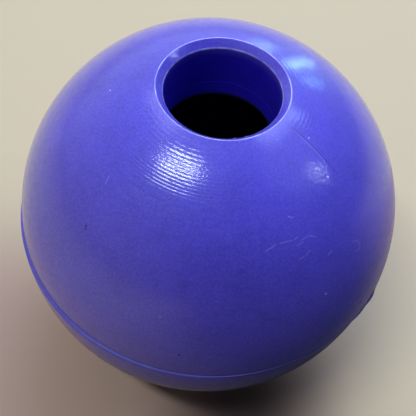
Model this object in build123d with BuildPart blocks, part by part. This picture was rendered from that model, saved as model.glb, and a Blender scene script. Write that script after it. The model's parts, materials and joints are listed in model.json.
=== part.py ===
from build123d import *
from math import sqrt
import os

# A hollow rubber juggling ball, cemented together from two moulded half shells.
# Sizes are in millimetres. The origin is the ball's lowest point, and +Z runs up its hole.

# Driving dimensions
ball_diameter = 65.0
wall_thickness = 11.2
bore_radius = 8.9
mouth_chamfer = 1.14        # 45-degree lead-in at the hole's mouth
mouth_edge_round = 0.15     # on the chamfer's outer edge
bore_top_round = 0.3        # where the chamfer runs into the bore
bore_end_round = 0.25       # where the bore opens into the cavity

# The tongue-and-groove joint at the equator, filled with cement
bond_thickness = 0.3
tongue_width = 3.0
tongue_height = 2.0
tongue_clearance = 0.5      # all round the tongue, and above it
seam_chamfer = 0.2          # on each shell's outer edge at the seam
bead_radius = 0.25          # squeezed-out cement
bead_stands_out = 0.08      # beyond the ball's surface

# Derived places
ball_radius = ball_diameter / 2
cavity_radius = ball_radius - wall_thickness
centre_height = ball_radius
mouth_radius = bore_radius + mouth_chamfer
mouth_height = centre_height + sqrt(ball_radius**2 - mouth_radius**2)
upper_face_height = centre_height + bond_thickness / 2
lower_face_height = centre_height - bond_thickness / 2
wall_middle_radius = (ball_radius + cavity_radius) / 2
tongue_inner_radius = wall_middle_radius - tongue_width / 2
tongue_outer_radius = wall_middle_radius + tongue_width / 2
groove_inner_radius = tongue_inner_radius - tongue_clearance
groove_outer_radius = tongue_outer_radius + tongue_clearance
groove_depth = tongue_height + tongue_clearance - bond_thickness


def hollow_ball():
    """Adds the whole hollow ball to the part that is being built."""
    with Locations((0, 0, centre_height)):
        Sphere(ball_radius)
        Sphere(cavity_radius, mode=Mode.SUBTRACT)


def level_circles(part):
    """Returns the part's horizontal circular edges, from the lowest to the highest."""
    return part.edges().filter_by(GeomType.CIRCLE).filter_by(Plane.XY).sort_by(Axis.Z)


# Upper half shell: the mouth, the bore and the groove
with BuildPart() as upper_half_shell:
    hollow_ball()
    split(bisect_by=Plane.XY.offset(upper_face_height), keep=Keep.TOP)
    with Locations((0, 0, mouth_height)):
        CounterSinkHole(
            radius=bore_radius,
            counter_sink_radius=mouth_radius,
            depth=wall_thickness + ball_radius / 2,
            counter_sink_angle=90,
        )
    with BuildSketch(Plane.XY.offset(upper_face_height)):
        Circle(groove_outer_radius)
        Circle(groove_inner_radius, mode=Mode.SUBTRACT)
    extrude(amount=groove_depth, mode=Mode.SUBTRACT)

    parting_edges = upper_half_shell.edges().group_by(Axis.Z)[0]
    chamfer(parting_edges.sort_by(SortBy.RADIUS)[-1], seam_chamfer)
    fillet(level_circles(upper_half_shell)[-1], mouth_edge_round)
    bore_edges = level_circles(upper_half_shell)
    bore_edges = bore_edges.filter_by(lambda edge: abs(edge.radius - bore_radius) < 0.01)
    fillet(bore_edges[-1], bore_top_round)
    fillet(bore_edges[0], bore_end_round)

# Lower half shell: a plain cup with the tongue on its face
with BuildPart() as lower_half_shell:
    hollow_ball()
    split(bisect_by=Plane.XY.offset(lower_face_height), keep=Keep.BOTTOM)
    rim_edges = lower_half_shell.edges().group_by(Axis.Z)[-1]
    chamfer(rim_edges.sort_by(SortBy.RADIUS)[-1], seam_chamfer)
    with BuildSketch(Plane.XY.offset(lower_face_height)):
        Circle(tongue_outer_radius)
        Circle(tongue_inner_radius, mode=Mode.SUBTRACT)
    extrude(amount=tongue_height)

# Seam bond: cement between the faces and round the tongue, with a bead outside
with BuildPart() as seam_bond:
    with BuildSketch(Plane.XY.offset(lower_face_height)):
        Circle(ball_radius - seam_chamfer)
        Circle(cavity_radius, mode=Mode.SUBTRACT)
    extrude(amount=bond_thickness)
    with BuildSketch(Plane.XY.offset(upper_face_height)):
        Circle(groove_outer_radius)
        Circle(groove_inner_radius, mode=Mode.SUBTRACT)
    extrude(amount=groove_depth)
    with Locations((0, 0, centre_height)):
        Torus(ball_radius + bead_stands_out - bead_radius, bead_radius)
    add(upper_half_shell.part, mode=Mode.SUBTRACT)
    add(lower_half_shell.part, mode=Mode.SUBTRACT)

upper_half_shell.part.label = "upper_half_shell"
lower_half_shell.part.label = "lower_half_shell"
seam_bond.part.label = "seam_bond"

os.makedirs("parts", exist_ok=True)
export_step(upper_half_shell.part, "parts/upper_half_shell.step")
export_step(lower_half_shell.part, "parts/lower_half_shell.step")
export_step(seam_bond.part, "parts/seam_bond.step")
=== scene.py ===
import json
import math
import random

import bpy
import numpy as np
from mathutils import Matrix, Vector


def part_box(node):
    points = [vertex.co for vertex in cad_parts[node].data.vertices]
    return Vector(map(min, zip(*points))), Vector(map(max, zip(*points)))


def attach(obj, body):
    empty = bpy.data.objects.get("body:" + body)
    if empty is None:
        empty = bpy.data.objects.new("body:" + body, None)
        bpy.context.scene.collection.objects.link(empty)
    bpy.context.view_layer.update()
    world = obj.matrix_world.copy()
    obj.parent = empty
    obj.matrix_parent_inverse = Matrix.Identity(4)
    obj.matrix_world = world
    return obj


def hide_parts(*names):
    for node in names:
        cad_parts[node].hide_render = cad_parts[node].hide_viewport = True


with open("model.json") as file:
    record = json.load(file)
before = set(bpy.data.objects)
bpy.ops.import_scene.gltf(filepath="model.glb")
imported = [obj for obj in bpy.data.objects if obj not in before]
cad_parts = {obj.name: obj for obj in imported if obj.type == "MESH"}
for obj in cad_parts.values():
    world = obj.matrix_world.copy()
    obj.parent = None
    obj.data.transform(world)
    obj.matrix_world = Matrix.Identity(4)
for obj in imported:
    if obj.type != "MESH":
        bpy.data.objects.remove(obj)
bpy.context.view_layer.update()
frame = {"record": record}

# A hollow juggling ball in purple rubber, moulded in two halves and cemented at its seam.
# Lengths are in metres. Shapes are outlines of (radius, height) turned about the hole's axis,
# with heights measured from the ball's centre. An azimuth of 0 is the ball's -Y side, where the
# camera is, and it grows towards +X. A polar angle is measured down from the top of the ball.
# Angles that stand as numbers in the tables below are in degrees.
MM = 0.001

# Sizes taken from the frame
lower_low, lower_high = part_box("lower_half_shell")
mounts = {mount["name"]: mount for mount in frame["record"]["mounts"]}
BALL_RADIUS = (lower_high.x - lower_low.x) / 2
BORE_RADIUS = mounts["mouth_bore"]["dims"]["r_mm"] * MM
CENTRE = Vector((0, 0, lower_low.z + BALL_RADIUS))

# The section of the shells, as the CAD has it. The parting faces are FACE above and below 0.
FACE = 0.15 * MM
WALL = 11.2 * MM
CAVITY_RADIUS = BALL_RADIUS - WALL
RIM_RADIUS = math.sqrt(BALL_RADIUS**2 - FACE**2)
MOUTH_CHAMFER = 1.14 * MM
MOUTH_RADIUS = BORE_RADIUS + MOUTH_CHAMFER
MOUTH_HEIGHT = math.sqrt(BALL_RADIUS**2 - MOUTH_RADIUS**2)
BORE_TOP_HEIGHT = MOUTH_HEIGHT - MOUTH_CHAMFER
BORE_END_HEIGHT = math.sqrt(CAVITY_RADIUS**2 - BORE_RADIUS**2)
TONGUE_INNER, TONGUE_OUTER = 25.4 * MM, 28.4 * MM
TONGUE_TOP = 2.0 * MM - FACE
TONGUE_CLEARANCE = 0.5 * MM
GROOVE_INNER = TONGUE_INNER - TONGUE_CLEARANCE
GROOVE_OUTER = TONGUE_OUTER + TONGUE_CLEARANCE
GROOVE_TOP = TONGUE_TOP + TONGUE_CLEARANCE

# How the real halves came together: the lower one sits a little to one side
LOWER_SHIFT = Vector((-0.38 * MM, -0.16 * MM, 0))

# How far each edge's rounding reaches along the two sides that meet there
SEAM_EDGE_ROUND = 0.32 * MM
LEDGE_ROUND = 0.20 * MM
MOUTH_EDGE_ROUND = 0.16 * MM
BORE_TOP_ROUND = 0.18 * MM
BORE_END_ROUND = 0.25 * MM

# Burrs on the edge between the chamfer and the bore, as (azimuth, height in mm). Each fades
# within the reach of that edge and the width in degrees, and leans in over the bore.
BURRS = ((16, 0.10), (27, 0.08), (-83, 0.06), (118, 0.05), (-150, 0.06))
BURR_REACH = 0.25 * MM
BURR_WIDTH = 1.6
BURR_LEAN = 0.5

# The cement's edge in the gap, and the bead that comes out of it, which moves outwards with the
# ragged edge and the flash, more and more between the two distances from the cement's edge
CEMENT_BACK = 0.12 * MM
BEAD_REACH = 0.2 * MM
BEAD_ROUND = 0.1 * MM
BEAD_MOVES = (-0.02 * MM, 0.05 * MM)
# The bead is ragged all round, and a torn flash sticks out on one side, with a small one beside
# it. A flash is (azimuth, width in degrees) and a height in mm.
RAGGED_SEED = 5
RAGGED_WAVES = 9
RAGGED = 0.02 * MM
FLASH_PLACE, FLASH_HEIGHT, FLASH_RAGGED = (63, 2.2), 0.42, 0.25
SMALL_FLASH_PLACE, SMALL_FLASH_HEIGHT = (57, 3.0), 0.16

# How finely the meshes are stepped: round the ball, and up each ring of the turned marks
SHELL_SEGMENTS = 300
SEAM_SEGMENTS = 720
STEPS_PER_COARSE_RING = 6.5
STEPS_PER_FINE_RING = 6
# An edge where the faces turn by more than this is shaded sharp
SHARP_TURN = 40
# A point this close to the ball's radius is on its outside
TOLERANCE = 0.001 * MM


# Outlines

def on_sphere(radius, polar_degrees):
    """The outline point of a sphere about the centre, at an angle down from the top."""
    polar = math.radians(polar_degrees)
    return (radius * math.sin(polar), radius * math.cos(polar))


def sphere_run(radius, heights):
    """Outline points of a sphere about the centre, one for each height."""
    return [(math.sqrt(max(radius**2 - h**2, 0)), h) for h in heights]


def sphere_arc(radius, start_degrees, end_degrees, count):
    """Outline points of a sphere about the centre, evenly spaced between two polar angles."""
    polar = np.radians(np.linspace(start_degrees, end_degrees, count))
    return sphere_run(radius, radius * np.cos(polar))


def rounded_corner(before, corner, after, size, steps=5):
    """Outline points that round a corner off, starting and ending size away from it."""
    before, corner, after = Vector(before), Vector(corner), Vector(after)
    start = corner + (before - corner).normalized() * size
    end = corner + (after - corner).normalized() * size
    points = []
    for step in range(steps + 1):
        t = step / steps
        point = start * (1 - t) ** 2 + corner * 2 * t * (1 - t) + end * t**2
        points.append(tuple(point))
    return points


def smooth_step(low, high, value):
    """0 below low, 1 above high and a smooth rise between them."""
    t = np.clip((np.asarray(value, float) - low) / (high - low), 0, 1)
    return t * t * (3 - 2 * t)


# Turned marks. The mould was cut in level passes, which left low rings round the mouth, and a
# second, finer set stands a little further down. PASS_HEIGHT is the middle of one coarse ring.
PASS_STEP = 0.257 * MM
PASS_HEIGHT = 0.9297 * BALL_RADIUS
FINE_PASS_STEP = 0.177 * MM
# Where each set starts and ends, as polar angles, and how many degrees its ends fade over
COARSE_PASSES = (18.2, 34.5)
COARSE_FADE = 0.8
FINE_PASSES = (36.3, 40.7)
FINE_FADE = 0.6
# Handling has worn the marks down unevenly. Each set has a depth in mm that is left everywhere,
# and places round the ball, as (azimuth, width in degrees, depth in mm), where more is left.
COARSE_LEFT = (0.002, ((-20, 21, 0.018), (74, 9, 0.010), (128, 26, 0.028)))
FINE_LEFT = (0.001, ((-32, 24, 0.018), (130, 30, 0.004)))
# Each coarse ring has its own share of the depth, and its depth wanders along it
RING_SEED = 11
RING_COUNT = 40
RING_SHARES = (0.7, 1.15)
WANDER = 0.15

# Rings in the bore: a faint line, then a small shoulder with fine passes on a taper below it
FAINT_RING_HEIGHT = 0.719 * BALL_RADIUS
FAINT_RING_DEPTH = 0.02 * MM
FAINT_RING_WIDTH = 0.12 * MM
SHOULDER_HEIGHT = 0.688 * BALL_RADIUS
SHOULDER_DEPTH = 0.05 * MM
SHOULDER_SOFTNESS = 0.20 * MM
BORE_TAPER = 0.03
BORE_PASS_DEPTH = 0.012 * MM
BORE_PASS_STEP = 0.7 * MM


def band(polar, limits, fade):
    """1 between two polar angles, fading to 0 at them."""
    top, bottom = limits
    return smooth_step(top, top + fade, polar) * smooth_step(-bottom, fade - bottom, -polar)


def scallop(count):
    """A row of rounded ridges with a sharp valley at every whole count: 0 on top, 1 in a valley."""
    return 1 - np.abs(np.sin(np.pi * count))


def depth_left(azimuth, left):
    """How deep one set of turned marks still is, round the ball."""
    everywhere, places = left
    return MM * (everywhere + sum(near_angle(azimuth, a, width) * depth for a, width, depth in places))


def pass_depth(height, azimuth, shares):
    """How far the turned marks reach into the outer surface here."""
    polar = np.degrees(np.arccos(np.clip(height / BALL_RADIUS, -1, 1)))
    count = (height - PASS_HEIGHT) / PASS_STEP + 0.5
    own = shares[np.floor(count).astype(int) % len(shares)]
    wander = 1 - WANDER + WANDER * np.sin(azimuth * 3 + count * 0.9)
    coarse = depth_left(azimuth, COARSE_LEFT) * band(polar, COARSE_PASSES, COARSE_FADE)
    coarse = coarse * own * wander * scallop(count)
    fine = depth_left(azimuth, FINE_LEFT) * band(polar, FINE_PASSES, FINE_FADE)
    fine = fine * scallop(height / FINE_PASS_STEP)
    return coarse + fine


def bore_radius_at(height):
    """The bore's radius at a height, with its rings."""
    radius = BORE_RADIUS
    radius += FAINT_RING_DEPTH * math.exp(-(((height - FAINT_RING_HEIGHT) / FAINT_RING_WIDTH) ** 2))
    below = float(smooth_step(-SHOULDER_SOFTNESS, SHOULDER_SOFTNESS, SHOULDER_HEIGHT - height))
    radius -= SHOULDER_DEPTH * below
    taper = max(SHOULDER_HEIGHT - height, 0) * BORE_TAPER
    passes = BORE_PASS_DEPTH * below * math.cos(2 * math.pi * height / BORE_PASS_STEP)
    return radius - taper + passes


# Meshes

def side_faces(count, segments, open_ends):
    """Quads between an outline's neighbouring rings of points, and from its last to its first
    unless its ends are open."""
    row = np.arange(count - 1 if open_ends else count)[:, None] * segments
    next_row = (row + segments) % (count * segments)
    here = np.arange(segments)[None, :]
    after = (here + 1) % segments
    quads = np.stack([row + here, row + after, next_row + after, next_row + here], axis=-1)
    return quads.reshape(-1, 4).tolist()


def tip_faces(count, segments):
    """Triangles from the first and the last ring of points to two tips added after them all."""
    first, last = count * segments, count * segments + 1
    last_row = (count - 1) * segments
    faces = []
    for k in range(segments):
        turn = (k + 1) % segments
        faces.append([first, turn, k])
        faces.append([last, last_row + k, last_row + turn])
    return faces


def revolve(name, rings, open_ends, segments, place):
    """Turns an outline into a closed mesh. With open ends, both ends lie on the axis and close
    in a single point; otherwise the outline's last point joins its first. place moves the
    points: it is given arrays of radius, height and azimuth and returns x, y and z."""
    body = rings[1:-1] if open_ends else rings
    radius = np.array([point[0] for point in body])[:, None]
    height = np.array([point[1] for point in body])[:, None]
    azimuth = np.linspace(0, 2 * math.pi, segments, endpoint=False)[None, :]
    radius, height, azimuth = np.broadcast_arrays(radius, height, azimuth)
    points = np.stack(place(radius, height, azimuth), axis=-1).reshape(-1, 3)
    faces = side_faces(len(body), segments, open_ends)
    if open_ends:
        ends = np.array([rings[0], rings[-1]])
        tips = np.stack(place(ends[:, 0], ends[:, 1], np.zeros(2)), axis=-1)
        points = np.concatenate([points, tips])
        faces += tip_faces(len(body), segments)

    mesh = bpy.data.meshes.new(name)
    mesh.from_pydata((points + np.array(CENTRE)).tolist(), [], faces)
    mesh.update()
    for polygon in mesh.polygons:
        polygon.use_smooth = True
    mesh.set_sharp_from_angle(angle=math.radians(SHARP_TURN))
    piece = bpy.data.objects.new(name, mesh)
    bpy.context.scene.collection.objects.link(piece)
    return piece


def spin(radius, azimuth):
    """Level x and y of a point at a radius and an azimuth."""
    return radius * np.sin(azimuth), -radius * np.cos(azimuth)


def outside_point(azimuth_degrees, polar_degrees):
    """The point on the outside at these angles, from the centre."""
    radius, height = on_sphere(BALL_RADIUS, polar_degrees)
    x, y = spin(radius, math.radians(azimuth_degrees))
    return Vector((x, y, height))


def near_angle(azimuth, degrees, width_degrees):
    """A smooth bump in azimuth, 1 at the given angle."""
    away = (azimuth - math.radians(degrees) + math.pi) % (2 * math.pi) - math.pi
    return np.exp(-((away / math.radians(width_degrees)) ** 2))


def upper_outside():
    """The upper shell's outside from the seam to just short of the mouth, with plain steps up to
    the turned marks and several for each of their rings."""
    above_rim = on_sphere(BALL_RADIUS, 88.5)
    outline = rounded_corner((CAVITY_RADIUS, FACE), (RIM_RADIUS, FACE), above_rim, SEAM_EDGE_ROUND)
    outline += sphere_arc(BALL_RADIUS, 89.0, 41.5, 40)
    fine_start = BALL_RADIUS * math.cos(math.radians(FINE_PASSES[1] + 0.3))
    coarse_start = BALL_RADIUS * math.cos(math.radians(COARSE_PASSES[1] + 1.0))
    fine_step = FINE_PASS_STEP / STEPS_PER_FINE_RING
    outline += sphere_run(BALL_RADIUS, np.arange(fine_start, coarse_start, fine_step))
    coarse_end = MOUTH_HEIGHT - 0.07 * MM
    coarse_steps = int((coarse_end - coarse_start) / (PASS_STEP / STEPS_PER_COARSE_RING))
    outline += sphere_run(BALL_RADIUS, np.linspace(coarse_start, coarse_end, coarse_steps))
    return outline


def bore_wall():
    """The bore's wall between the roundings at its ends, stepped finely from its faint ring down."""
    plain = np.linspace(BORE_TOP_HEIGHT - 0.5 * MM, FAINT_RING_HEIGHT + 0.3 * MM, 6)
    ringed = np.linspace(FAINT_RING_HEIGHT + 0.2 * MM, BORE_END_HEIGHT + 0.35 * MM, 40)
    return [(bore_radius_at(height), height) for height in (*plain, *ringed)]


def upper_outline():
    """The upper shell's section, from the seam over the outside, down the bore and back inside."""
    mouth = (MOUTH_RADIUS, MOUTH_HEIGHT)
    bore_top = (BORE_RADIUS, BORE_TOP_HEIGHT)
    bore_end = (bore_radius_at(BORE_END_HEIGHT), BORE_END_HEIGHT)
    outline = upper_outside()
    outline += rounded_corner(outline[-1], mouth, bore_top, MOUTH_EDGE_ROUND)
    outline += rounded_corner(mouth, bore_top, bore_end, BORE_TOP_ROUND, steps=6)
    outline += bore_wall()
    outline += rounded_corner(outline[-1], bore_end, on_sphere(CAVITY_RADIUS, 30), BORE_END_ROUND)
    outline += sphere_arc(CAVITY_RADIUS, 27, 89.3, 26)
    outline += [(CAVITY_RADIUS, FACE), (GROOVE_INNER, FACE), (GROOVE_INNER, GROOVE_TOP)]
    outline += [(GROOVE_OUTER, GROOVE_TOP), (GROOVE_OUTER, FACE)]
    return outline


def lower_outline():
    """The lower shell's section, from the bottom up the outside, over the tongue and down inside."""
    below_rim = on_sphere(BALL_RADIUS, 91.5)
    outline = sphere_arc(BALL_RADIUS, 180, 91.0, 76)
    outline += rounded_corner(below_rim, (RIM_RADIUS, -FACE), (TONGUE_OUTER, -FACE), LEDGE_ROUND)
    outline += [(TONGUE_OUTER, -FACE), (TONGUE_OUTER, TONGUE_TOP)]
    outline += [(TONGUE_INNER, TONGUE_TOP), (TONGUE_INNER, -FACE), (CAVITY_RADIUS, -FACE)]
    outline += sphere_arc(CAVITY_RADIUS, 91, 180, 40)
    return outline


def make_upper_shell():
    random.seed(RING_SEED)
    shares = np.array([random.uniform(*RING_SHARES) for _ in range(RING_COUNT)])

    def place(radius, height, azimuth):
        outer = np.abs(np.hypot(radius, height) - BALL_RADIUS) < TOLERANCE
        depth = np.where(outer, pass_depth(height, azimuth, shares), 0)
        scale = 1 - depth / BALL_RADIUS
        from_edge = np.hypot(radius - BORE_RADIUS, height - BORE_TOP_HEIGHT)
        near_edge = np.exp(-((from_edge / BURR_REACH) ** 2))
        lift = sum(near_angle(azimuth, angle, BURR_WIDTH) * size * MM for angle, size in BURRS)
        x, y = spin(radius * scale - lift * near_edge * BURR_LEAN, azimuth)
        return x, y, height * scale + lift * near_edge

    return revolve("upper_shell_rubber", upper_outline(), False, SHELL_SEGMENTS, place)


def make_lower_shell():
    def place(radius, height, azimuth):
        x, y = spin(radius, azimuth)
        return x + LOWER_SHIFT.x, y + LOWER_SHIFT.y, height

    return revolve("lower_shell_rubber", lower_outline(), True, SHELL_SEGMENTS, place)


def cement_outline(edge):
    """The cement's section, from inside along its lower faces, round its edge and back above, and
    for each point how far it goes along with the lower shell's shift, from 0 to 1."""
    below = [(CAVITY_RADIUS, -FACE), (TONGUE_INNER, -FACE), (TONGUE_INNER, TONGUE_TOP)]
    below += [(TONGUE_OUTER, TONGUE_TOP), (TONGUE_OUTER, -FACE), (edge, -FACE)]
    bead = rounded_corner((edge, -FACE), (edge + BEAD_REACH, 0), (edge, FACE), BEAD_ROUND, steps=6)
    above = [(edge, FACE), (GROOVE_OUTER, FACE), (GROOVE_OUTER, GROOVE_TOP)]
    above += [(GROOVE_INNER, GROOVE_TOP), (GROOVE_INNER, FACE), (CAVITY_RADIUS, FACE)]
    shares = [1.0] * len(below)
    shares += [1 - k / (len(bead) - 1) for k in range(len(bead))]
    shares += [0.0] * len(above)
    return below + bead + above, np.array(shares)[:, None]


def make_seam_cement():
    """The cement between the halves. Its upper faces follow the upper shell, its lower faces the
    lower one, and its edge closes the gap between them with a torn flash on one side."""
    edge = BALL_RADIUS - CEMENT_BACK
    outline, shares = cement_outline(edge)
    random.seed(RAGGED_SEED)
    phases = [random.uniform(0, 2 * math.pi) for _ in range(RAGGED_WAVES)]

    def place(radius, height, azimuth):
        waves = sum(np.sin(azimuth * (7 + 11 * k) + phase) for k, phase in enumerate(phases))
        ragged = waves / RAGGED_WAVES
        flash = near_angle(azimuth, *FLASH_PLACE) * (FLASH_HEIGHT + FLASH_RAGGED * ragged)
        flash = flash + near_angle(azimuth, *SMALL_FLASH_PLACE) * SMALL_FLASH_HEIGHT
        moves = smooth_step(edge + BEAD_MOVES[0], edge + BEAD_MOVES[1], radius)
        x, y = spin(radius + moves * (RAGGED * ragged + flash * MM), azimuth)
        return x + LOWER_SHIFT.x * shares, y + LOWER_SHIFT.y * shares, height

    return revolve("seam_cement", outline, False, SEAM_SEGMENTS, place)


# Materials

class Nodes:
    """Short calls for building a material's or the world's node tree."""

    def __init__(self, tree):
        self.tree = tree

    def node(self, kind, **settings):
        made = self.tree.nodes.new("ShaderNode" + kind)
        for key, value in settings.items():
            setattr(made, key, value)
        return made

    def link(self, output, socket):
        self.tree.links.new(output, socket)

    def feed(self, socket, value):
        """Links an output to a socket, or sets the socket to a plain value."""
        if isinstance(value, bpy.types.NodeSocket):
            self.link(value, socket)
        else:
            socket.default_value = value

    def place(self):
        """The point in the ball's own frame."""
        return self.node("TexCoord").outputs["Object"]

    def noise(self, vector, scale, detail, roughness):
        made = self.node("TexNoise")
        self.link(vector, made.inputs["Vector"])
        made.inputs["Scale"].default_value = scale
        made.inputs["Detail"].default_value = detail
        made.inputs["Roughness"].default_value = roughness
        return made.outputs["Fac"]

    def span(self, value, low, high, to_low=0.0, to_high=1.0, smooth=True):
        """Maps a value from one range to another, clamped at both ends."""
        made = self.node("MapRange", interpolation_type="SMOOTHSTEP" if smooth else "LINEAR")
        self.link(value, made.inputs["Value"])
        made.inputs["From Min"].default_value = low
        made.inputs["From Max"].default_value = high
        made.inputs["To Min"].default_value = to_low
        made.inputs["To Max"].default_value = to_high
        return made.outputs["Result"]

    def math(self, operation, first, second=0.0, third=0.0):
        made = self.node("Math", operation=operation)
        for socket, value in zip(made.inputs, (first, second, third)):
            self.feed(socket, value)
        return made.outputs["Value"]

    def mix(self, factor, first, second):
        """Mixes two colours."""
        made = self.node("Mix", data_type="RGBA")
        self.feed(made.inputs["Factor"], factor)
        self.feed(made.inputs["A"], first)
        self.feed(made.inputs["B"], second)
        return made.outputs["Result"]

    def measure(self, operation, vector, other=(0, 0, 0)):
        """A number worked out from a vector and a fixed one, such as the distance between them."""
        made = self.node("VectorMath", operation=operation)
        self.link(vector, made.inputs[0])
        made.inputs[1].default_value = other
        return made.outputs["Value"]

    def apart(self, vector):
        """A vector's x, y and z."""
        made = self.node("SeparateXYZ")
        self.link(vector, made.inputs["Vector"])
        return made.outputs

    def spot(self, vector, azimuth, polar, size):
        """1 in the middle of a small round mark on the outside, falling to 0 at its edge."""
        away = self.measure("DISTANCE", vector, CENTRE + outside_point(azimuth, polar))
        return self.span(away, size * MM * 0.6, size * MM * 0.25)

    def streak(self, vector, start, end, width):
        """1 along a thin line over the outside between two places, falling to 0 at its sides."""
        start, end = outside_point(*start), outside_point(*end)
        from_centre = self.node("VectorMath", operation="SUBTRACT")
        self.link(vector, from_centre.inputs[0])
        from_centre.inputs[1].default_value = CENTRE
        from_centre = from_centre.outputs["Vector"]
        aside = self.measure("DOT_PRODUCT", from_centre, start.cross(end).normalized())
        thin = self.span(self.math("ABSOLUTE", aside), width * MM / 2, width * MM / 8)
        along = self.measure("DISTANCE", from_centre, (start + end) / 2)
        half = (end - start).length / 2
        return self.math("MULTIPLY", thin, self.span(along, half, half * 0.7))

    def ring(self, vector, radius, height, width):
        """1 along a level ring about the hole's axis, falling to 0 at its sides."""
        x, y, z = self.apart(vector)
        out = self.math("SQRT", self.math("MULTIPLY_ADD", x, x, self.math("MULTIPLY", y, y)))
        aside = self.math("SUBTRACT", out, radius)
        above = self.math("SUBTRACT", z, CENTRE.z + height)
        square = self.math("MULTIPLY_ADD", aside, aside, self.math("MULTIPLY", above, above))
        return self.span(self.math("SQRT", square), width * MM / 2, width * MM / 8)

    def any_of(self, values):
        """The largest of several values."""
        total = values[0]
        for value in values[1:]:
            total = self.math("MAXIMUM", total, value)
        return total

    def bump(self, height, strength, distance, normal=None):
        made = self.node("Bump")
        made.inputs["Strength"].default_value = strength
        made.inputs["Distance"].default_value = distance
        self.link(height, made.inputs["Height"])
        if normal is not None:
            self.link(normal, made.inputs["Normal"])
        return made.outputs["Normal"]


def new_material(name):
    """A material, the short calls for its node tree, and its shader."""
    material = bpy.data.materials.new(name)
    material.use_nodes = True
    return material, Nodes(material.node_tree), material.node_tree.nodes["Principled BSDF"]


def linear(red, green, blue):
    """A colour given in 0 to 255 display values, as the shader wants it."""
    def one(value):
        value /= 255
        return value / 12.92 if value <= 0.04045 else ((value + 0.055) / 1.055) ** 2.4
    return (one(red), one(green), one(blue), 1.0)


# Marks on the outside, as (azimuth, polar angle, size in mm)
PALE_SPECKS = (
    (65, 26.5, 0.30),
    (-87, 31, 0.30),
    (-9.4, 66.7, 0.22),
    (126, 17.2, 0.22),
    (-78, 17.0, 0.22),
    (40.1, 65.3, 0.40),
    (-155, 48, 0.30),
    (150, 62, 0.28),
)
DARK_SPECKS = (
    (-41.1, 53.6, 0.42),
    (-40.8, 54.3, 0.30),
    (-2.7, 79.5, 0.50),
    (92, 22.3, 0.24),
    (170, 55, 0.30),
)
# Places where the outside is scuffed rough
SCUFFS = (
    (58, 34.0, 4.0),
    (58, 38.5, 3.4),
)
# The cement has one large dark mark too, about the torn flash
FLASH_MARK = (61, 89.8, 9.0)
# Scratches, as the two ends of each and its width in mm
SCRATCHES = (
    ((-45, 39), (-44, 41.7), 0.14),
    ((21.1, 46.8), (26.5, 45.5), 0.15),
    ((26.5, 45.5), (32.7, 45.9), 0.15),
    ((32.7, 45.9), (34.8, 45.5), 0.18),
    ((32.8, 39.5), (34.4, 40.5), 0.24),
    ((34.4, 40.5), (35.6, 40.2), 0.15),
    ((35, 46.8), (38.7, 46.5), 0.15),
    ((38.7, 46.5), (41.7, 48.2), 0.15),
    ((33, 47.6), (36.5, 47.4), 0.13),
    ((32.8, 51.5), (35.3, 51.2), 0.13),
    ((35.3, 51.2), (38, 50.4), 0.13),
    ((43.4, 54.4), (45.7, 53.9), 0.22),
    ((54.2, 56.2), (56.9, 57.4), 0.15),
    ((56.9, 57.4), (56.7, 60.1), 0.14),
    ((56.7, 60.1), (53.8, 59.4), 0.14),
    ((4.8, 79.0), (6.4, 79.1), 0.20),
    ((-140, 60), (-133, 63), 0.12),
)
# A thin line that runs down from the mouth, with a pale edge on its left
RUN_DOWN = ((61.6, 19.5), (63.2, 40), 0.20)
RUN_DOWN_EDGE = ((61.0, 22), (62.2, 34), 0.14)
# The two edges of the mouth's chamfer, rubbed pale in patches and lightened as painted highlight, as
# radius, height from the centre and width
MOUTH_EDGE = (MOUTH_RADIUS, MOUTH_HEIGHT, 0.26)
BORE_EDGE = (BORE_RADIUS, BORE_TOP_HEIGHT, 0.50)

# The plain, the darker and the paler tone of each rubber
RUBBER_TONES = (linear(82, 69, 210), linear(76, 63, 199), linear(160, 160, 240))
CEMENT_TONES = (linear(84, 71, 200), linear(74, 61, 182), linear(150, 145, 230))
# The colour of the dark marks, also used as painted shade in the cavity, and the bore's painted shade
# colour
DARK_MARK_AND_PAINTED_SHADE_COLOUR = linear(14, 11, 60)
BORE_PAINTED_SHADE_COLOUR = linear(30, 14, 180)
# The pale specks' colour, also used for the painted highlights on the chamfer's edges and the seam
PALE_MARK_AND_PAINTED_HIGHLIGHT_COLOUR = linear(178, 178, 244)
# The distances from the ball's centre over which the painted shade of the bore and of the cavity comes
# in, and with it the bore's duller gloss and the cavity's bare finish
BORE_PAINTED_SHADE_AND_DULL_REACH = (BALL_RADIUS - 1.2 * MM, BALL_RADIUS - 3.2 * MM)
CAVITY_PAINTED_SHADE_AND_BARE_REACH = (CAVITY_RADIUS + 0.9 * MM, CAVITY_RADIUS + 0.2 * MM)
# The distances from the seam over which its pale line, a painted highlight, and its trimmed, duller
# strip come in
SEAM_LINE = (0.35 * MM, 0.1 * MM)
SEAM_STRIP = (0.6 * MM, 0.3 * MM)

# How much of each tone or mark shows, from 0 to 1
MOTTLE_SHOWS = 0.11
SMUDGE_SHOWS = 0.10
SCRATCH_SHOWS = 0.55
RUN_DOWN_SHOWS = 0.65
DARK_SHOWS = 0.9
PALE_SHOWS = 0.9
SEAM_LINE_SHOWS = 0.14
BORE_PAINTED_SHADE_SHOWS = 0.9
BORE_DULLS = 0.5
SEAM_STRIP_DULLS = 0.95

# Noises, as (scale, detail, roughness). A scale of 1000 makes blotches of about a millimetre.
CLOUDS = (90, 4, 0.6)
MOTTLE = (3000, 3, 0.7)
SMUDGES = (420, 4, 0.65)
RUBBED_PATCHES = (350, 3, 0.6)
SATIN = (700, 3, 0.6)
GRAIN = (2400, 3, 0.65)
SCUFFING = (1400, 3, 0.7)
ORANGE_PEEL = (500, 2, 0.5)

# The surface's finish
SATIN_ROUGHNESS = (0.40, 0.52)
DULL_ROUGHNESS = 0.4
COAT_ROUGHNESS = 0.12
SPECULAR_LEVEL = 0.35
RUBBER_IOR = 1.5
GRAIN_HEIGHT = 0.024 * MM
SCUFF_HEIGHT = 0.04 * MM
ORANGE_PEEL_HEIGHT = 0.03 * MM
ORANGE_PEEL_STRENGTH = 0.2


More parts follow.
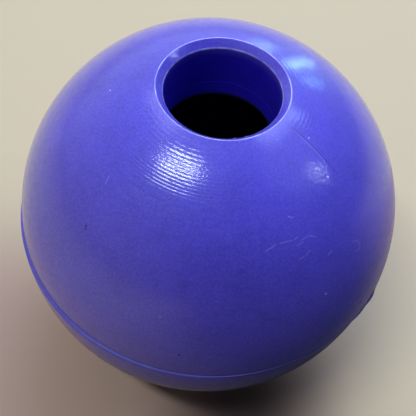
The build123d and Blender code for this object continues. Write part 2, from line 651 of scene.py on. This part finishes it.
def clouded(nodes, place, tones):
    """The rubber's own colour, with soft clouds, a fine mottle and smudges."""
    plain, darker, paler = tones
    clouds = nodes.span(nodes.noise(place, *CLOUDS), 0.35, 0.65)
    colour = nodes.mix(clouds, darker, plain)
    mottle = nodes.span(nodes.noise(place, *MOTTLE), 0.35, 0.65)
    colour = nodes.mix(nodes.math("MULTIPLY", mottle, MOTTLE_SHOWS), colour, paler)
    smudges = nodes.span(nodes.noise(place, *SMUDGES), 0.5, 0.72)
    return nodes.mix(nodes.math("MULTIPLY", smudges, SMUDGE_SHOWS), colour, DARK_MARK_AND_PAINTED_SHADE_COLOUR)


def scratched(nodes, place, colour, paler):
    """Adds the scratches and the pale edge of the line that runs down from the mouth."""
    scratches = nodes.any_of([nodes.streak(place, *mark) for mark in (*SCRATCHES, RUN_DOWN_EDGE)])
    return nodes.mix(nodes.math("MULTIPLY", scratches, SCRATCH_SHOWS), colour, paler)


def darkened(nodes, place, colour, dark_marks):
    """Adds the dark marks and the line that runs down from the mouth."""
    specks = nodes.any_of([nodes.spot(place, *mark) for mark in dark_marks])
    run_down = nodes.math("MULTIPLY", nodes.streak(place, *RUN_DOWN), RUN_DOWN_SHOWS)
    dark = nodes.math("MAXIMUM", specks, run_down)
    return nodes.mix(nodes.math("MULTIPLY", dark, DARK_SHOWS), colour, DARK_MARK_AND_PAINTED_SHADE_COLOUR)


def pale_marks_and_painted_highlights(nodes, place, from_seam, colour):
    """Adds the pale specks and the painted highlights: the chamfer's edges, rubbed pale in patches and
    lightened as painted highlight, and faintly the seam's edges, as painted highlight."""
    edges = nodes.math("MAXIMUM", nodes.ring(place, *MOUTH_EDGE), nodes.ring(place, *BORE_EDGE))
    patches = nodes.span(nodes.noise(place, *RUBBED_PATCHES), 0.35, 0.6, 0.3, 1.0)
    edges = nodes.math("MULTIPLY", edges, patches)
    seam_line = nodes.span(from_seam, *SEAM_LINE, 0.0, SEAM_LINE_SHOWS)
    specks = nodes.any_of([nodes.spot(place, *mark) for mark in PALE_SPECKS])
    specks = nodes.math("MULTIPLY", specks, PALE_SHOWS)
    return nodes.mix(nodes.any_of([edges, seam_line, specks]), colour, PALE_MARK_AND_PAINTED_HIGHLIGHT_COLOUR)


def set_gloss(nodes, shader, place, from_seam, in_bore, in_cavity):
    """A clear sheen over satin, duller in the bore and where the seam was trimmed."""
    trimmed = nodes.math("MULTIPLY", nodes.span(from_seam, *SEAM_STRIP), SEAM_STRIP_DULLS)
    bare = nodes.math("MAXIMUM", trimmed, in_cavity)
    dull = nodes.math("MAXIMUM", nodes.math("MULTIPLY", in_bore, BORE_DULLS), bare)
    rough = nodes.span(nodes.noise(place, *SATIN), 0.3, 0.7, *SATIN_ROUGHNESS)
    rough = nodes.math("MULTIPLY_ADD", bare, DULL_ROUGHNESS, rough)
    nodes.link(rough, shader.inputs["Roughness"])
    nodes.link(nodes.span(dull, 0, 1, 1.0, 0.0, smooth=False), shader.inputs["Coat Weight"])
    shader.inputs["Coat Roughness"].default_value = COAT_ROUGHNESS
    shader.inputs["IOR"].default_value = RUBBER_IOR
    shader.inputs["Specular IOR Level"].default_value = SPECULAR_LEVEL


def set_bumps(nodes, shader, place):
    """A fine grain, the rough patches of the scuffs and an orange peel, which the satin and the
    clear sheen over it share."""
    normal = nodes.bump(nodes.noise(place, *GRAIN), 1.0, GRAIN_HEIGHT)
    scuffs = nodes.any_of([nodes.spot(place, *mark) for mark in SCUFFS])
    scuffs = nodes.math("MULTIPLY", scuffs, nodes.noise(place, *SCUFFING))
    normal = nodes.bump(scuffs, 1.0, SCUFF_HEIGHT, normal)
    peel = nodes.noise(place, *ORANGE_PEEL)
    normal = nodes.bump(peel, ORANGE_PEEL_STRENGTH, ORANGE_PEEL_HEIGHT, normal)
    nodes.link(normal, shader.inputs["Normal"])
    nodes.link(normal, shader.inputs["Coat Normal"])


def rubber_material(name, tones, dark_marks):
    """Satin moulded rubber, coloured through, with specks, scratches, worn edges lightened as painted
    highlight, and painted shade in the bore and the cavity.
    """
    material, nodes, shader = new_material(name)
    place = nodes.place()
    height = nodes.apart(place)["Z"]
    from_seam = nodes.math("ABSOLUTE", nodes.math("SUBTRACT", height, CENTRE.z))
    from_centre = nodes.measure("DISTANCE", place, CENTRE)
    in_bore = nodes.span(from_centre, *BORE_PAINTED_SHADE_AND_DULL_REACH)
    in_cavity = nodes.span(from_centre, *CAVITY_PAINTED_SHADE_AND_BARE_REACH)

    colour = clouded(nodes, place, tones)
    colour = scratched(nodes, place, colour, tones[2])
    colour = darkened(nodes, place, colour, dark_marks)
    colour = pale_marks_and_painted_highlights(nodes, place, from_seam, colour)
    # Painted shade: a darker, deeper blue down the bore, and near black in the cavity
    colour = nodes.mix(nodes.math("MULTIPLY", in_bore, BORE_PAINTED_SHADE_SHOWS), colour, BORE_PAINTED_SHADE_COLOUR)
    colour = nodes.mix(in_cavity, colour, DARK_MARK_AND_PAINTED_SHADE_COLOUR)
    nodes.link(colour, shader.inputs["Base Color"])
    set_gloss(nodes, shader, place, from_seam, in_bore, in_cavity)
    set_bumps(nodes, shader, place)
    return material


# The floor, with painted shade towards the front left and a painted shadow in front of where the ball
# rests. A tone comes in between the two places, or the two distances, that it is given.
FLOOR_HALF = 1.5
FLOOR_ROUGHNESS = 0.8
FLOOR_COLOUR = linear(209, 189, 155)
PAINTED_SHADE_FLOOR_COLOUR = linear(184, 153, 138)
PAINTED_SHADE_ACROSS = (0.045, 0.005)
PAINTED_SHADE_ALONG = (0.025, -0.012)
PAINTED_SHADE_REACH = (0.16, 0.05)
PAINTED_SHADOW_FLOOR_COLOUR = linear(70, 52, 50)
PAINTED_SHADOW_PLACE = (0.0115, -0.024, 0)
PAINTED_SHADOW_REACH = (0.024, 0.002)

# The shade card in front of the ball, which turns dark between two places from its left edge and
# two from its back edge
SHADE_COLOUR = linear(45, 42, 38)
SHADE_HEIGHT = 0.001
SHADE_REACH = 1.45
SHADE_LEFT = (-0.05, 0.03)
SHADE_BACK = (0.045, -0.03)


def one_corner(nodes, place, across, along):
    """1 in one corner of a level surface, coming in between two places each way, in x and y."""
    x, y, _ = nodes.apart(place)
    return nodes.math("MULTIPLY", nodes.span(x, *across), nodes.span(y, *along))


def floor_with_painted_shade_material():
    material, nodes, shader = new_material("floor_paint")
    place = nodes.place()
    # Painted shade towards the front left, near the ball, and a painted shadow where the ball leans
    # over the floor
    near = nodes.span(nodes.measure("LENGTH", place), *PAINTED_SHADE_REACH)
    dull = nodes.math("MULTIPLY", one_corner(nodes, place, PAINTED_SHADE_ACROSS, PAINTED_SHADE_ALONG), near)
    dark = nodes.span(nodes.measure("DISTANCE", place, PAINTED_SHADOW_PLACE), *PAINTED_SHADOW_REACH)
    colour = nodes.mix(dull, FLOOR_COLOUR, PAINTED_SHADE_FLOOR_COLOUR)
    nodes.link(nodes.mix(dark, colour, PAINTED_SHADOW_FLOOR_COLOUR), shader.inputs["Base Color"])
    shader.inputs["Roughness"].default_value = FLOOR_ROUGHNESS
    return material


def shade_material():
    """Painted shade: dark seen from above, fading to the floor's painted shade colour, and not there
    seen from below.
    """
    material, nodes, shader = new_material("shade_card")
    dark = one_corner(nodes, nodes.place(), SHADE_LEFT, SHADE_BACK)
    nodes.link(nodes.mix(dark, PAINTED_SHADE_FLOOR_COLOUR, SHADE_COLOUR), shader.inputs["Base Color"])
    shader.inputs["Roughness"].default_value = FLOOR_ROUGHNESS
    below = nodes.node("NewGeometry").outputs["Backfacing"]
    nodes.link(nodes.math("SUBTRACT", 1.0, below), shader.inputs["Alpha"])
    return material


# Stage

def add_level_sheet(name, low, high, height, material):
    """A flat level rectangle between two corners."""
    corners = [(low[0], low[1]), (high[0], low[1]), (high[0], high[1]), (low[0], high[1])]
    mesh = bpy.data.meshes.new(name)
    mesh.from_pydata([(x, y, height) for x, y in corners], [], [(0, 1, 2, 3)])
    mesh.materials.append(material)
    sheet = bpy.data.objects.new(name, mesh)
    bpy.context.scene.collection.objects.link(sheet)
    return sheet


def add_floor():
    low, high = (-FLOOR_HALF, -FLOOR_HALF), (FLOOR_HALF, FLOOR_HALF)
    floor = add_level_sheet("floor", low, high, 0, floor_with_painted_shade_material())


def add_shade():
    """A dark card in front of the ball, just above the floor: painted shade, as a person bending over
    it would leave, for the ball to mirror there. The camera doesn't see it, and it casts no shadow."""
    low, high = (SHADE_LEFT[0], -SHADE_REACH), (SHADE_REACH, SHADE_BACK[0])
    card = add_level_sheet("shade", low, high, SHADE_HEIGHT, shade_material())
    card.visible_camera = False
    card.visible_shadow = False


def direction(azimuth, elevation):
    """Unit vector from the ball towards an azimuth and elevation, in degrees."""
    azimuth, elevation = math.radians(azimuth), math.radians(elevation)
    x, y = spin(math.cos(elevation), azimuth)
    return Vector((x, y, math.sin(elevation)))


def add_light(name, azimuth, elevation, distance, size, power, colour, turn):
    """A soft rectangular light that faces the ball."""
    data = bpy.data.lights.new(name, "AREA")
    data.shape = "RECTANGLE"
    data.size, data.size_y = size
    data.energy = power
    data.color = colour
    light = bpy.data.objects.new(name, data)
    toward = direction(azimuth, elevation)
    turned = (-toward).to_track_quat("-Z", "Y").to_matrix().to_4x4()
    turned = turned @ Matrix.Rotation(math.radians(turn), 4, "Z")
    light.matrix_world = Matrix.Translation(CENTRE + toward * distance) @ turned
    bpy.context.scene.collection.objects.link(light)


# Each light's name, azimuth, elevation, distance, size, power, colour and turn about its own axis
LIGHTS = (
    ("main", -53, 67, 1.2, (0.44, 0.09), 6.0, (0.84, 0.96, 1.0), 30),
    ("back_right", 160, 60, 0.45, (0.4, 0.25), 1.0, (0.72, 0.9, 1.5), 0),
    ("back_left", -165, 62, 0.5, (0.5, 0.3), 0.95, (0.9, 0.97, 1.15), 0),
    ("right", 95, 50, 0.5, (0.3, 0.25), 0.12, (0.8, 0.9, 1.3), 0),
    ("window_low", 157, 8, 1.0, (0.05, 0.14), 0.5, (0.4, 0.85, 1.0), 0),
    ("window_far", 169, 9, 1.0, (0.12, 0.05), 0.22, (0.4, 0.8, 1.0), 0),
    ("window_near", 148, 13, 1.0, (0.04, 0.13), 0.20, (0.3, 0.75, 1.0), 0),
    ("window_high", 130, 40, 1.0, (0.10, 0.10), 0.12, (0.6, 0.9, 1.0), 0),
    ("side", 96, 32, 1.0, (0.03, 0.13), 0.50, (0.75, 0.85, 1.0), 0),
)


def add_lights():
    for light in LIGHTS:
        add_light(*light)


# The room's soft light: broad glows that fade with the angle from an azimuth and elevation, each
# with its strength and colour
ROOM_GLOWS = (
    (180, 12, 0.55, (1.0, 1.1, 0.7)),
    (-135, 12, 0.52, (1.05, 1.12, 0.6)),
    (135, 12, 0.12, (1.0, 1.1, 0.6)),
    (-90, 12, 0.22, (1.0, 0.95, 0.8)),
    (-50, 10, 0.25, (1.05, 0.92, 0.9)),
)
GLOW_SHARPNESS = 6.0
BACKDROP_COLOUR = linear(226, 222, 208)


def room_light(nodes):
    """All the glows together, in the direction looked in."""
    looking = nodes.node("TexCoord").outputs["Generated"]
    total = (0.0, 0.0, 0.0)
    for azimuth, elevation, strength, colour in ROOM_GLOWS:
        ahead = nodes.measure("DOT_PRODUCT", looking, direction(azimuth, elevation))
        fade = nodes.math("POWER", nodes.math("MAXIMUM", ahead, 0.0), GLOW_SHARPNESS)
        glow = nodes.node("VectorMath", operation="MULTIPLY_ADD")
        nodes.link(fade, glow.inputs[0])
        glow.inputs[1].default_value = [strength * share for share in colour]
        nodes.feed(glow.inputs[2], total)
        total = glow.outputs["Vector"]
    return total


def add_world():
    """The glows light the ball and the floor. Seen directly, the room is a plain pale backdrop."""
    world = bpy.data.worlds.new("room")
    world.use_nodes = True
    nodes = Nodes(world.node_tree)
    direct = nodes.node("LightPath").outputs["Is Camera Ray"]
    colour = nodes.mix(direct, room_light(nodes), BACKDROP_COLOUR)
    nodes.link(colour, world.node_tree.nodes["Background"].inputs["Color"])
    bpy.context.scene.world = world


# The camera: a hand-held close-up from in front and above, turned a little about its own axis.
# It stands CAMERA_DISTANCE ball radii from the centre and aims a little in front of and below it.
CAMERA_ELEVATION = 55.64
CAMERA_DISTANCE = 4.385
CAMERA_AIM = Vector((0, -0.55 * MM, -0.38 * MM))
CAMERA_ROLL = 7.35
CAMERA_LENS = 69.0
SENSOR_WIDTH = 36
CLIP_START = 0.01


def add_camera():
    data = bpy.data.cameras.new("camera")
    data.sensor_width = SENSOR_WIDTH
    data.lens = CAMERA_LENS
    data.clip_start = CLIP_START
    camera = bpy.data.objects.new("camera", data)
    stand = CENTRE + direction(0, CAMERA_ELEVATION) * CAMERA_DISTANCE * BALL_RADIUS
    facing = (CENTRE + CAMERA_AIM - stand).to_track_quat("-Z", "Y").to_matrix().to_4x4()
    turned = facing @ Matrix.Rotation(math.radians(CAMERA_ROLL), 4, "Z")
    camera.matrix_world = Matrix.Translation(stand) @ turned
    bpy.context.scene.collection.objects.link(camera)
    bpy.context.scene.camera = camera


def finish_piece(piece, node, material):
    """Gives a piece its material, hangs it on the root body, and hides the part of the CAD it stands
    for.
    """
    piece.data.materials.append(material)
    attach(piece, "root")
    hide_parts(node)


rubber = rubber_material("purple_rubber", RUBBER_TONES, DARK_SPECKS)
cement = rubber_material("seam_cement", CEMENT_TONES, (FLASH_MARK,))

finish_piece(make_upper_shell(), "upper_half_shell", rubber)
finish_piece(make_lower_shell(), "lower_half_shell", rubber)
finish_piece(make_seam_cement(), "seam_bond", cement)

add_camera()
add_lights()
add_shade()
add_world()
add_floor()
bpy.context.scene.view_settings.view_transform = "Standard"
